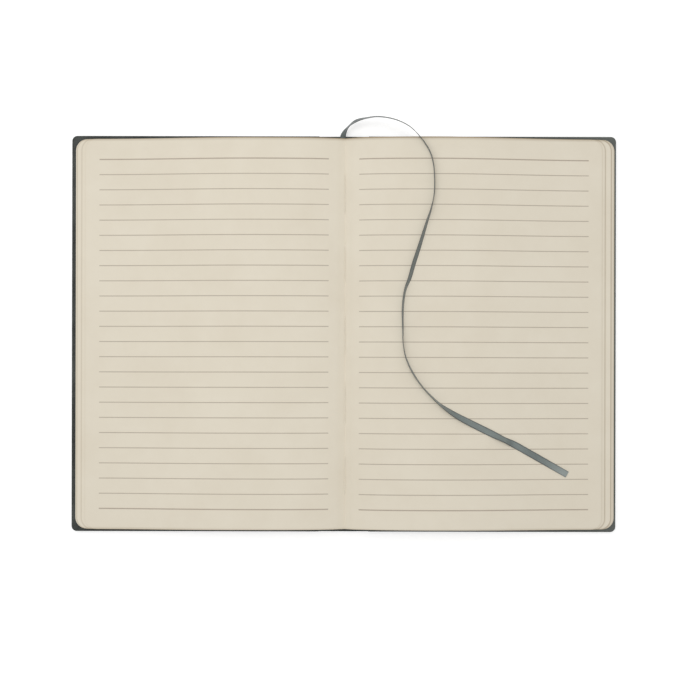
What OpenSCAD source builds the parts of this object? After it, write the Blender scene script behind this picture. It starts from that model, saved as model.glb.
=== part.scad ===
// A case-bound ruled notebook that lies open at its middle, with a ribbon marker.
// Millimetres. X runs along the open width, Y towards the head, Z up from the table.
// The origin is on the table, under the middle of the spine.

/* [Cover] */
// Height of the cover, head to tail
cover_h = 210; // [200:1:220]
// Width of the open cover, from the middle of the spine to one fore edge
cover_half_w = 144.5; // [143.5:0.5:150]
// Radius of the cover's outer corners
cover_corner_r = 2.8; // [1.5:0.1:4]
// Thickness of the boards
board_t = 2; // [1.5:0.1:3]
// Thickness of the covering sheet
wrap_t = 0.5; // [0.3:0.05:0.7]
// Width of the covering sheet where it is turned in over the boards
turn_in = 15; // [10:1:18]
// Width of the stiff strip in the spine
spine_strip_w = 13; // [12:0.5:15]
// Thickness of the stiff strip in the spine
spine_strip_t = 0.8; // [0.5:0.1:1.2]
// Width of the flexible joint between the spine strip and a board
joint_w = 7; // [6:0.5:9]

/* [Endpapers] */
// Thickness of the endpapers
endpaper_t = 0.2; // [0.15:0.05:0.3]
// Margin of the cover left bare round the pasted endpaper
pastedown_margin = 3; // [2:0.5:5]
// Air between the pasted endpaper and the leaf that lies on it
lay_gap = 0.1; // [0.1:0.05:0.3]

/* [Text block] */
// Height of the leaves
leaf_h = 205.8; // [198:0.2:207]
// Distance from the fold to the fore edge of the lowest leaf
leaf_reach = 142.7; // [141:0.1:143.5]
// Radius of the leaves' outer corners
leaf_corner_r = 6; // [3:0.5:7]
// Thickness of the leaves on one side of the fold
stack_t = 4.6; // [3.8:0.1:6]
// How far the fore edges of the leaves fan out, lowest to top group
fan_w = 6.2; // [4:0.2:7]
// Share of the leaves that lie at full reach, under the fanned groups
fan_base = 0.7; // [0.3:0.05:0.8]
// Share of each step of the fan that slopes, the rest being a clear step
fan_slope = 0.25; // [0.15:0.05:0.9]
// Half the width of the glued back of the leaves
back_half_w = 4.5; // [4:0.1:5.2]
// Height of the back's two edges above the table
back_edge_z = 4.2; // [3.8:0.1:4.6]
// How far the back arches up between its edges
back_rise = 3.2; // [2.8:0.1:3.6]
// Thickness of the leaves left over the middle of the back
fold_t = 1.6; // [1:0.1:2.5]
// How far the leaves lie off the middle of the cover, to the right
block_shift_x = 0.6; // [0:0.1:1]
// How far the leaves lie off the middle of the cover, to the tail
block_shift_y = 0.3; // [0:0.1:1]

/* [Open shape] */
// Height of the hollow under the left-hand leaves
left_arch = 6.4; // [4:0.2:9]
// Height of the hollow under the right-hand leaves
right_arch = 8.4; // [4:0.2:9]
// Distance from the fold to where the pages start to slope down
dome_reach = 46; // [35:1:60]
// Width over which the pages climb out of the fold
gutter_w = 12; // [8:0.5:14]
// Width over which the lowest leaves climb from the back
shoulder_w = 6.5; // [4:0.5:8]

/* [Ruling] */
// Distance from one ruled line to the next
line_pitch = 8; // [7:0.5:8.5]
// Least margin of a page above its first line and below its last
line_margin = 10; // [8:0.5:12]
// Distance from the fold to the inner end of the lines
line_inset = 8; // [7:0.5:10]
// Length of the ruled lines
line_len = 121; // [100:0.5:121.5]
// Width of a ruled line
line_w = 0.45; // [0.3:0.05:0.8]
// Width of the heavier first and last line
edge_line_w = 0.6; // [0.4:0.05:1]

/* [Sewing] */
// Length of the stitches that show in the fold
stitch_len = 19; // [12:1:22]
// Distance from one stitch to the next
stitch_pitch = 37; // [30:1:40]
// Diameter of the thread
thread_d = 0.5; // [0.3:0.05:0.6]
// Thickness of the cloth glued to the back
lining_t = 0.3; // [0.2:0.05:0.4]

/* [Ribbon] */
// Width of the ribbon
ribbon_w = 3.5; // [3:0.1:4.5]
// Thickness of the ribbon
ribbon_t = 0.35; // [0.25:0.05:0.5]

/* [Hidden] */

LEFT = -1;
RIGHT = 1;
STITCH_COUNT = 5;
LEAF_GROUPS = 4;
INK_T = 0.05;
TOUCH = 0.02;
RIBBON_AIR = 0.1;
FAR = 400;

wrap_colour = [0.26, 0.27, 0.26];
board_colour = [0.62, 0.58, 0.52];
endpaper_colour = [0.86, 0.83, 0.75];
paper_colour = [0.87, 0.84, 0.77];
cloth_colour = [0.90, 0.89, 0.85];
thread_colour = [0.93, 0.92, 0.88];
ink_colour = [0.72, 0.69, 0.63];
edge_ink_colour = [0.62, 0.59, 0.55];
ribbon_colour = [0.43, 0.48, 0.48];

// Cover levels and outlines
cover_half_h = cover_h / 2;
hinge_x = spine_strip_w / 2 + joint_w / 2;
board_x = spine_strip_w / 2 + joint_w;
board_end_x = cover_half_w - wrap_t;
board_half_h = cover_half_h - wrap_t;
board_top_z = wrap_t + board_t;
cover_top_z = board_top_z + wrap_t;
strip_top_z = wrap_t + spine_strip_t;
joint_top_z = 2 * wrap_t;
window_half_h = cover_half_h - turn_in;
paste_half_h = cover_half_h - pastedown_margin;
paste_start_x = hinge_x + endpaper_t + lay_gap;

// Levels of the leaves
flyleaf_z = cover_top_z + endpaper_t + lay_gap;
lay_z = flyleaf_z + endpaper_t;
page_z = lay_z + stack_t;
fold_z = back_edge_z + back_rise + fold_t;
leaf_half_h = leaf_h / 2;
top_reach = leaf_reach - fan_w;
line_end_x = line_inset + line_len;
line_count = floor((leaf_h - 2 * line_margin) / line_pitch) + 1;

// The arched back is part of a circle through its two edges and its crown
back_r = (back_half_w * back_half_w + back_rise * back_rise) / (2 * back_rise);
back_centre_z = back_edge_z + back_rise - back_r;
back_angle = atan2(back_half_w, back_edge_z - back_centre_z);
BACK_STEPS = 14;

// The foot of the endpaper's hinge and of the lining, over the turned-in joint
foot_x = hinge_x - endpaper_t - lay_gap;
foot_z = joint_top_z + lay_gap;

// Samples along the pages, closer together near the fold
GUTTER_STEPS = 5;
PAGE_STEPS = 12;
function spread(a, b, count, power) =
    [for (i = [0 : count]) a + (b - a) * pow(i / count, power)];
function tail(list) = [for (i = [1 : len(list) - 1]) list[i]];
function backwards(list) = [for (i = [len(list) - 1 : -1 : 0]) list[i]];
gutter_xs = spread(0, line_inset, GUTTER_STEPS, 1.4);
ruled_xs = spread(line_inset, line_end_x, PAGE_STEPS, 1.3);
page_xs = concat(gutter_xs, tail(ruled_xs));
lower_xs = concat(
    spread(back_half_w, 2 * line_inset, GUTTER_STEPS, 1.2),
    tail(spread(2 * line_inset, line_end_x, PAGE_STEPS, 1.1))
);

function arch_of(side) = side == LEFT ? left_arch : right_arch;
function dome(x, side) =
    x <= dome_reach ? arch_of(side)
    : x >= top_reach ? 0
    : arch_of(side) * (1 + cos(180 * (x - dome_reach) / (top_reach - dome_reach))) / 2;
function upper_z(x, side) =
    page_z + dome(x, side) - (page_z + arch_of(side) - fold_z) * exp(-x / gutter_w);
function lower_z(x, side) =
    lay_z + dome(x, side)
    - (lay_z + arch_of(side) - back_edge_z) * exp(-(x - back_half_w) / shoulder_w);
function level_z(x, share, side) =
    lower_z(x, side) + share * (upper_z(x, side) - lower_z(x, side));
function edge_z(x, share, side) =
    let (
        start = level_z(line_end_x, share, side),
        end = lay_z + share * stack_t
    )
    start + (end - start) * (x - line_end_x) / (leaf_reach - line_end_x);
function block_x(x, side) = block_shift_x + side * x;
function back_point(angle, r) =
    [block_shift_x + r * sin(angle), back_centre_z + r * cos(angle)];
function back_arc(r) =
    [for (i = [0 : BACK_STEPS]) back_point(back_angle * (1 - 2 * i / BACK_STEPS), r)];

// Upright section in X and Z, drawn out along Y about a middle
module along_y(length, middle = 0) {
    translate([0, middle, 0])
        rotate([90, 0, 0])
            linear_extrude(height = length, center = true)
                children();
}

// Outline seen from above, with its two outer corners round
module round_ended(x0, x1, half_h, r) {
    translate([x0, -half_h])
        square([x1 - r - x0, 2 * half_h]);
    translate([x1 - r - TOUCH, r - half_h])
        square([r + TOUCH, 2 * (half_h - r)]);
    for (s = [-1, 1])
        translate([x1 - r, s * (half_h - r)])
            circle(r = r, $fn = 48);
}

// Block between two heights, as wide along Y as it is told
module slab(x0, x1, half_h, z0, z1) {
    translate([x0, -half_h, z0])
        cube([x1 - x0, 2 * half_h, z1 - z0]);
}

module on_side(side) {
    if (side == LEFT) {
        mirror([1, 0, 0])
            children();
    } else {
        children();
    }
}

// Cover: each half is drawn for the right and mirrored for the left
module board_form() {
    translate([0, 0, wrap_t])
        linear_extrude(height = board_t)
            round_ended(board_x, board_end_x, board_half_h, cover_corner_r - wrap_t);
}

module wrap_form() {
    difference() {
        linear_extrude(height = cover_top_z)
            round_ended(hinge_x, cover_half_w, cover_half_h, cover_corner_r);
        board_form();
        slab(0, cover_half_w - turn_in, window_half_h, wrap_t, FAR);
        slab(0, board_x - wrap_t, FAR, joint_top_z, FAR);
    }
}

module pastedown_form() {
    difference() {
        intersection() {
            translate([0, 0, wrap_t])
                linear_extrude(height = cover_top_z + endpaper_t - wrap_t)
                    round_ended(
                        paste_start_x, cover_half_w - pastedown_margin, paste_half_h,
                        leaf_corner_r
                    );
            union() {
                slab(0, FAR, FAR, 0, wrap_t + endpaper_t);
                slab(board_x - endpaper_t, FAR, FAR, 0, board_top_z + endpaper_t);
                slab(cover_half_w - turn_in - endpaper_t, FAR, FAR, 0, FAR);
                for (s = [-1, 1])
                    translate([0, s * (window_half_h - endpaper_t + FAR), 0]) {
                        slab(0, FAR, FAR, 0, joint_top_z + endpaper_t);
                        slab(board_x - wrap_t - endpaper_t, FAR, FAR, 0, FAR);
                    }
            }
        }
        wrap_form();
        board_form();
    }
}

module cover_wrap(side) {
    color(wrap_colour)
        on_side(side)
            wrap_form();
}

module cover_board(side) {
    color(board_colour)
        on_side(side)
            board_form();
}

module cover_pastedown(side) {
    color(endpaper_colour)
        on_side(side)
            pastedown_form();
}

module spine_strip_form() {
    slab(-spine_strip_w / 2, spine_strip_w / 2, board_half_h, wrap_t, strip_top_z);
}

module spine_strip() {
    color(board_colour)
        spine_strip_form();
}

module spine_wrap() {
    color(wrap_colour)
        difference() {
            slab(-hinge_x, hinge_x, cover_half_h, 0, strip_top_z + wrap_t);
            spine_strip_form();
            slab(-FAR, FAR, window_half_h, wrap_t, FAR);
            for (side = [LEFT, RIGHT])
                on_side(side)
                    slab(spine_strip_w / 2 + wrap_t, FAR, FAR, joint_top_z, FAR);
        }
}

// Cloth glued under the arched back, with a wing down to each joint
function wing_start(side, t) = [
    block_x(back_half_w, side) - side * t * sin(wing_angle(side)),
    back_edge_z - t * cos(wing_angle(side))
];
function wing_end(side, t) = [
    side * foot_x - side * t * sin(wing_angle(side)),
    foot_z - t * cos(wing_angle(side))
];
function wing_angle(side) =
    atan2(back_edge_z - foot_z, side * (side * foot_x - block_x(back_half_w, side)));

module spine_lining() {
    color(cloth_colour)
        along_y(2 * (window_half_h - lay_gap))
            polygon(concat(
                [wing_end(RIGHT, 0)],
                back_arc(back_r),
                [wing_end(LEFT, 0), wing_end(LEFT, lining_t), wing_start(LEFT, lining_t)],
                backwards(back_arc(back_r - lining_t)),
                [wing_start(RIGHT, lining_t), wing_end(RIGHT, lining_t)]
            ));
}

// Endpaper half that lies under the leaves, folded down at the back to its joint
module flyleaf(side) {
    lying = [for (x = lower_xs) [block_x(x, side), lower_z(x, side)]];
    under = [for (x = lower_xs) [block_x(x, side), lower_z(x, side) - endpaper_t]];
    start_w = lower_xs[1] - lower_xs[0];
    start_slope = (lower_z(lower_xs[1], side) - lower_z(lower_xs[0], side)) / start_w;
    crease_w = endpaper_t * (1 + 1 / cos(wing_angle(side)))
        / (start_slope + tan(wing_angle(side)));
    crease = [
        block_x(back_half_w + crease_w, side),
        back_edge_z - endpaper_t + start_slope * crease_w
    ];
    color(endpaper_colour)
        intersection() {
            along_y(leaf_h, -block_shift_y)
                polygon(concat(
                    lying,
                    [
                        [block_x(leaf_reach, side), lay_z],
                        [block_x(leaf_reach, side), flyleaf_z]
                    ],
                    backwards(tail(under)),
                    [crease, wing_end(side, -endpaper_t), wing_end(side, 0)]
                ));
            translate([0, -block_shift_y, 0])
                linear_extrude(height = FAR)
                    translate([block_shift_x, 0])
                        on_side(side)
                            round_ended(-FAR, leaf_reach, leaf_half_h, leaf_corner_r);
        }
}

// Where a group of leaves begins, as a share of the stack
function group_low(index) =
    index <= 0 ? 0 : fan_base + (1 - fan_base) * (index - 1) / (LEAF_GROUPS - 1);

// One group of leaves beyond the ruling, with a sloping fore edge. It reaches down into the
// group below it, so that the two are one solid.
module leaf_group(index, side) {
    low = group_low(index);
    root = (group_low(index - 1) + low) / 2;
    high = group_low(index + 1);
    step_w = fan_w / (LEAF_GROUPS - 1);
    reach = leaf_reach - index * step_w;
    upper_reach = reach - step_w * fan_slope;
    intersection() {
        along_y(leaf_h, -block_shift_y)
            polygon([
                [block_x(line_end_x, side), edge_z(line_end_x, root, side)],
                [block_x(reach, side), edge_z(reach, root, side)],
                if (index > 0) [block_x(reach, side), edge_z(reach, low, side)],
                [block_x(upper_reach, side), edge_z(upper_reach, high, side)],
                [block_x(line_end_x, side), edge_z(line_end_x, high, side)]
            ]);
        translate([block_shift_x, -block_shift_y, 0])
            on_side(side)
                linear_extrude(height = FAR)
                    round_ended(0, reach, leaf_half_h, leaf_corner_r);
    }
}

// All the leaves, glued at the back and open at the middle
module text_block() {
    color(paper_colour)
        union() {
            along_y(leaf_h, -block_shift_y)
                polygon(concat(
                    [for (x = backwards(page_xs)) [block_x(x, RIGHT), upper_z(x, RIGHT)]],
                    [for (x = tail(page_xs)) [block_x(x, LEFT), upper_z(x, LEFT)]],
                    [for (x = backwards(tail(lower_xs))) [block_x(x, LEFT), lower_z(x, LEFT)]],
                    backwards(back_arc(back_r)),
                    [for (x = tail(lower_xs)) [block_x(x, RIGHT), lower_z(x, RIGHT)]]
                ));
            for (side = [LEFT, RIGHT])
                for (index = [0 : LEAF_GROUPS - 1])
                    leaf_group(index, side);
        }
}

// One printed line, a skin of ink on the page
module ruled_line(index, side, width) {
    inked = [for (x = ruled_xs) [block_x(x, side), upper_z(x, side)]];
    along_y(width, (index - (line_count - 1) / 2) * line_pitch - block_shift_y)
        polygon(concat(inked, [for (p = backwards(inked)) [p[0], p[1] + INK_T]]));
}

module ruled_lines() {
    color(ink_colour)
        for (side = [LEFT, RIGHT])
            for (index = [1 : line_count - 2])
                ruled_line(index, side, line_w);
}

module edge_lines() {
    color(edge_ink_colour)
        for (side = [LEFT, RIGHT])
            for (index = [0, line_count - 1])
                ruled_line(index, side, edge_line_w);
}

// Stitches along the bottom of the fold, resting between its two slopes
module sewing_thread() {
    steepest = atan((page_z + max(left_arch, right_arch) - fold_z) / gutter_w);
    rest_z = fold_z + thread_d / 2 / cos(steepest) + TOUCH;
    color(thread_colour)
        for (index = [0 : STITCH_COUNT - 1])
            translate([
                block_shift_x,
                (index - (STITCH_COUNT - 1) / 2) * stitch_pitch - block_shift_y,
                rest_z
            ])
                rotate([90, 0, 0])
                    cylinder(h = stitch_len, d = thread_d, center = true, $fn = 24);
}

// Ribbon: glued under the back, out at the head, round in a loop and over the page.
// Each free point is x, y, z and lean; lean is 0 where the ribbon lies flat.
ribbon_loop = [
    [0.5, 80, 6.4, 0],
    [0.5, 88, 6.4, 0],
    [0.3, 96, 6.4, 0],
    [-0.2, 101, 6.4, 12],
    [-0.4, 105, 6.8, 35],
    [2.2, 109.3, 7.6, 72],
    [6.2, 112.2, 8.8, 60],
    [11.8, 113.6, 10.2, 82],
    [18.3, 114, 12.4, 90],
    [26.6, 112.2, 15, 90],
    [34, 108.4, 17, 90]
];
// Each point on the page is x, y and lean; its height follows from the page.
ribbon_on_page = [
    [39.8, 102.5, 90],
    [44.2, 96, 90],
    [46.5, 89, 90],
    [47.2, 80, 90],
    [46.9, 72.5, 86],
    [45.4, 65, 78],
    [43, 57.5, 66],
    [39.5, 46, 58],
    [36.6, 37, 56],
    [34.3, 29, 60],
    [31.9, 22.4, 66],
    [30.8, 13, 70],
    [30.9, 2, 74],
    [31, -5, 78],
    [32.7, -13, 82],
    [36.5, -21, 84],
    [41.8, -28.4, 82],
    [49, -35.7, 74],
    [55, -40.2, 52],
    [60.2, -43.4, 32],
    [67.5, -47.2, 14],
    [76, -51.4, 4],
    [84.2, -55.4, 28],
    [90, -58.2, 4],
    [97, -62.1, 4],
    [107.6, -68.1, 3],
    [117.8, -73.9, 2]
];
function ribbon_height(x, lean) =
    upper_z(abs(x - block_shift_x), x < block_shift_x ? LEFT : RIGHT)
    + INK_T + RIBBON_AIR + ribbon_w / 2 * sin(lean) + ribbon_t / 2 * cos(lean);
ribbon_route = concat(
    ribbon_loop,
    [for (p = ribbon_on_page) [p[0], p[1], ribbon_height(p[0], p[2]), p[2]]]
);
RIBBON_SPLITS = 2;

function clamped(list, i) = list[max(0, min(len(list) - 1, i))];
function between(list, i, u) =
    let (
        a = clamped(list, i - 1),
        b = clamped(list, i),
        c = clamped(list, i + 1),
        d = clamped(list, i + 2)
    )
    0.5 * (2 * b + (c - a) * u + (2 * a - 5 * b + 4 * c - d) * u * u
        + (3 * b - a - 3 * c + d) * u * u * u);
function smoothed(list, splits) = concat(
    [for (i = [0 : len(list) - 2]) for (j = [0 : splits - 1]) between(list, i, j / splits)],
    [list[len(list) - 1]]
);
function place(p) = [p[0], p[1], p[2]];
function unit(v) = v / norm(v);
function heading(list, i) = unit(place(clamped(list, i + 1)) - place(clamped(list, i - 1)));

// Eight corners of the ribbon's section, flat, as shares across and up
function ribbon_corners() = [
    for (turn = [1, -1])
        for (s = [[1, 0.25], [0.9, 0.5], [-0.9, 0.5], [-1, 0.25]])
            turn * [s[0] * ribbon_w / 2, s[1] * ribbon_t]
];
function ribbon_ring(list, i) =
    let (
        along = heading(list, i),
        across = unit(cross(along, [0, 0, 1])),
        up = cross(across, along),
        lean = list[i][3],
        wide = across * cos(lean) + up * sin(lean),
        thin = up * cos(lean) - across * sin(lean)
    )
    [for (c = ribbon_corners()) place(list[i]) + wide * c[0] + thin * c[1]];

module ribbon() {
    route = smoothed(ribbon_route, RIBBON_SPLITS);
    sides = len(ribbon_corners());
    last = len(route) - 1;
    rings = [for (i = [0 : last]) each ribbon_ring(route, i)];
    walls = [
        for (i = [0 : last - 1])
            for (j = [0 : sides - 1])
                let (k = (j + 1) % sides)
                [i * sides + j, i * sides + k, (i + 1) * sides + k, (i + 1) * sides + j]
    ];
    first_end = [for (j = [sides - 1 : -1 : 0]) j];
    last_end = [for (j = [0 : sides - 1]) last * sides + j];
    color(ribbon_colour)
        polyhedron(points = rings, faces = concat(walls, [first_end, last_end]), convexity = 10);
}

cover_wrap(LEFT);  // front_wrap
cover_board(LEFT);  // front_board
cover_pastedown(LEFT);  // front_pastedown
cover_wrap(RIGHT);  // back_wrap
cover_board(RIGHT);  // back_board
cover_pastedown(RIGHT);  // back_pastedown
spine_wrap();
spine_strip();
spine_lining();
flyleaf(LEFT);  // front_flyleaf
flyleaf(RIGHT);  // back_flyleaf
text_block();
sewing_thread();
ruled_lines();
edge_lines();
ribbon();
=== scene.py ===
"""Dresses a case-bound ruled notebook, lying open at its middle, with its ribbon marker.

Sizes are in millimetres and become metres when a mesh is made. X runs along the open
width, Y towards the head of the pages and Z up from the table. Inside the block of
leaves x is counted outwards from the fold, and a side says which way that is.
"""

import logging
import math
from dataclasses import dataclass
from enum import Enum
from typing import Any, Sequence

import bmesh
import bpy
import numpy as np
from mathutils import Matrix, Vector


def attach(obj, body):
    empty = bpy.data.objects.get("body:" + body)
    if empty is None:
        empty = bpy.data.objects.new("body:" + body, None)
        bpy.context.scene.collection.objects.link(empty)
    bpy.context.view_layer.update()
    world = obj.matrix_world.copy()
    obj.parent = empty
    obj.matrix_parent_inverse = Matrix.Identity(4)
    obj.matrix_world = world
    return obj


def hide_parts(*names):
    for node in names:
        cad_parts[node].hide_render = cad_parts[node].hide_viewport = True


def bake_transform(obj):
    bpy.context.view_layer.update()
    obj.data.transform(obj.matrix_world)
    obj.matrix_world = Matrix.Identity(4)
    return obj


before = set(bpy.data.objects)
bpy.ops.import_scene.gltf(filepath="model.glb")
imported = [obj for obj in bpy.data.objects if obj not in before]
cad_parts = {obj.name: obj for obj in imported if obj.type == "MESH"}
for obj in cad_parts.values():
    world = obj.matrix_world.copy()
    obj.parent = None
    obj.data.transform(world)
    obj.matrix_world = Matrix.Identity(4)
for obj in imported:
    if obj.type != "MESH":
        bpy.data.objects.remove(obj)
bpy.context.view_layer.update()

MM = 0.001
SEED = 11
LOG = logging.getLogger("notebook")

# Radians that the wave pattern turns through in one unit of length at a scale of 1.
WAVE_RATE = 20

Array = np.ndarray
Pair = tuple[float, float]
Triple = tuple[float, float, float]
Colour = Triple

WHITE: Colour = (1.0, 1.0, 1.0)


class Side(Enum):
    """Which half of the open book a piece belongs to, as seen from above."""

    LEFT = -1
    RIGHT = 1

    @property
    def cover(self) -> str:
        """Name of the cover that lies under this half."""
        return "front" if self is Side.LEFT else "back"


class Body(Enum):
    """The bodies that the frame moves."""

    BLOCK = "book_block"
    FRONT = "front_cover"
    BACK = "back_cover"


class Slot(Enum):
    """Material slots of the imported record."""

    LEATHER = "cover_leather"
    BOARD = "grey_board"
    ENDPAPER = "endpaper"
    CLOTH = "lining_cloth"
    PAPER = "page_paper"
    THREAD = "thread"
    RULING = "ruling_ink"
    EDGE_RULING = "edge_ink"
    RIBBON = "ribbon_satin"


def tone(red: int, green: int, blue: int) -> Colour:
    """Turns a display colour of 0 to 255 a channel into the linear one that shaders take."""
    shares = (channel / 255 for channel in (red, green, blue))
    return tuple(s / 12.92 if s <= 0.04045 else ((s + 0.055) / 1.055) ** 2.4 for s in shares)


def ease(values: Array, low: float, high: float) -> Array:
    """Rises smoothly from 0 at low to 1 at high."""
    share = np.clip((np.asarray(values, float) - low) / (high - low), 0, 1)
    return share * share * (3 - 2 * share)


@dataclass(frozen=True)
class Cloud:
    """A cloudy pattern: its patches to a millimetre, its finer layers and their strength."""

    scale: float
    detail: float = 2.0
    rough: float = 0.5


@dataclass(frozen=True)
class Surface:
    """The depth of a relief in millimetres, how rough the face is and how much it mirrors."""

    relief: float
    roughness: float
    specular: float


class ShaderSheet:
    """The nodes of one material or of the sky, added and linked a call at a time."""

    def __init__(self, name: str, sky: bool = False) -> None:
        """Starts an empty node tree with its output.

        Args:
            name: Name of the material or of the sky.
            sky: Whether the nodes are the sky's.
        """
        self.owner = (bpy.data.worlds if sky else bpy.data.materials).new(name)
        self.owner.use_nodes = True
        self.tree = self.owner.node_tree
        self.tree.nodes.clear()
        self.output = self.add("OutputWorld" if sky else "OutputMaterial")

    def add(self, kind: str, options: dict[str, Any] | None = None, **sockets: Any) -> Any:
        """Adds a node.

        Args:
            kind: The node's type without its ShaderNode prefix.
            options: Properties of the node itself.
            sockets: Values or source sockets, by input name with _ for a space.

        Returns:
            The node.
        """
        node = self.tree.nodes.new("ShaderNode" + kind)
        for key, value in (options or {}).items():
            setattr(node, key, value)
        for key, value in sockets.items():
            self.feed(node.inputs[key.replace("_", " ")], value)
        return node

    def feed(self, socket: Any, value: Any) -> None:
        """Links a source socket to an input, or sets the input's own value.

        Args:
            socket: The input.
            value: A source socket, a number, or a colour or vector.
        """
        if isinstance(value, bpy.types.NodeSocket):
            self.tree.links.new(value, socket)
        elif isinstance(value, tuple) and len(value) == 3 and socket.type == "RGBA":
            socket.default_value = (*value, 1.0)
        else:
            socket.default_value = value

    def place(self, stretch: Triple = (1.0, 1.0, 1.0)) -> Any:
        """Finds a point of the surface.

        Args:
            stretch: How much the place is stretched along each axis.

        Returns:
            The place in millimetres.
        """
        where = self.add("TexCoord").outputs["Object"]
        scale = tuple(s / MM for s in stretch)
        return self.add("Mapping", Vector=where, Scale=scale).outputs[0]

    def noise(self, where: Any, cloud: Cloud, coloured: bool = False) -> Any:
        """Draws a cloudy pattern.

        Args:
            where: The place.
            cloud: The pattern.
            coloured: Whether three values are wanted and not one.

        Returns:
            The values, which lie round 0.5.
        """
        sizes = {"Scale": cloud.scale, "Detail": cloud.detail, "Roughness": cloud.rough}
        return self.add("TexNoise", Vector=where, **sizes).outputs[1 if coloured else 0]

    def wave(self, where: Any, across: str, pitch: float, bend: float = 0.0) -> Any:
        """Draws a soft wave.

        Args:
            where: The place.
            across: The axis that it runs along.
            pitch: Distance from crest to crest.
            bend: How far its crests wander.

        Returns:
            The height of the wave, from 0 to 1.
        """
        bands = {"wave_type": "BANDS", "bands_direction": across, "wave_profile": "SIN"}
        turns = math.tau / pitch / WAVE_RATE
        return self.add("TexWave", bands, Vector=where, Scale=turns, Distortion=bend).outputs[1]

    def sum_of(self, first: Any, second: Any, weight: float) -> Any:
        """Adds weight times the second value to the first."""
        return self.math("MULTIPLY_ADD", second, weight, first)

    def math(self, operation: str, *values: Any) -> Any:
        """Works out one operation.

        Args:
            operation: Blender's name for it.
            values: Sockets or numbers.

        Returns:
            The result's socket.
        """
        node = self.add("Math", {"operation": operation})
        for socket, value in zip(node.inputs, values):
            self.feed(socket, value)
        return node.outputs[0]

    def ramp(self, value: Any, low: float, high: float, start: float, end: float) -> Any:
        """Maps a value from one span onto another and stops at its ends.

        Args:
            value: The value's socket.
            low: The value that gives the start.
            high: The value that gives the end.
            start: What the low value becomes.
            end: What the high value becomes.

        Returns:
            The mapped value's socket.
        """
        names = ("Value", "From_Min", "From_Max", "To_Min", "To_Max")
        spans = dict(zip(names, (value, low, high, start, end)))
        return self.add("MapRange", {"clamp": True}, **spans).outputs[0]

    def share(self, value: Any, span: Pair, most: float = 1.0) -> Any:
        """Rises from 0 at the span's first value to the most at its second."""
        return self.ramp(value, *span, 0.0, most)

    def looked_at(self) -> Any:
        """Tells what the camera sees straight, mirrored or through glass from the rest.

        Returns:
            Socket that is 1 or more for what it sees and 0 for the rest.
        """
        paths = self.add("LightPath").outputs
        seen = self.sum_of(paths["Is Camera Ray"], paths["Is Glossy Ray"], 1.0)
        return self.sum_of(seen, paths["Is Transmission Ray"], 1.0)

    def blend(self, share: Any, first: Any, second: Any, how: str = "MIX") -> Any:
        """Mixes two colours.

        Args:
            share: How much of the second one, as a number or a socket.
            first: The first colour.
            second: The second colour.
            how: Blender's name for the way they mix.

        Returns:
            The colour's socket.
        """
        mixer = self.add("Mix", {"data_type": "RGBA", "blend_type": how})
        colours = [s for s in mixer.inputs if s.type == "RGBA"]
        self.feed(mixer.inputs[0], share)
        self.feed(colours[0], first)
        self.feed(colours[1], second)
        return next(s for s in mixer.outputs if s.type == "RGBA")

    def finish(
        self, colour: Any, height: Any, surface: Surface, **sockets: Any
    ) -> bpy.types.Material:
        """Ends the material in one principled shader.

        Args:
            colour: Socket of the base colour.
            height: Socket of the relief's height, from 0 to 1.
            surface: The face that the material has.
            sockets: Inputs of the shader that come on top, or in place of the face's.

        Returns:
            The material.
        """
        relief = self.add("Bump", Height=height, Distance=surface.relief * MM, Strength=1.0)
        face = {"Roughness": surface.roughness, "Specular_IOR_Level": surface.specular}
        shader = self.add(
            "BsdfPrincipled", Base_Color=colour, Normal=relief.outputs[0], **(face | sockets)
        )
        self.feed(self.output.inputs["Surface"], shader.outputs[0])
        return self.owner


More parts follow.
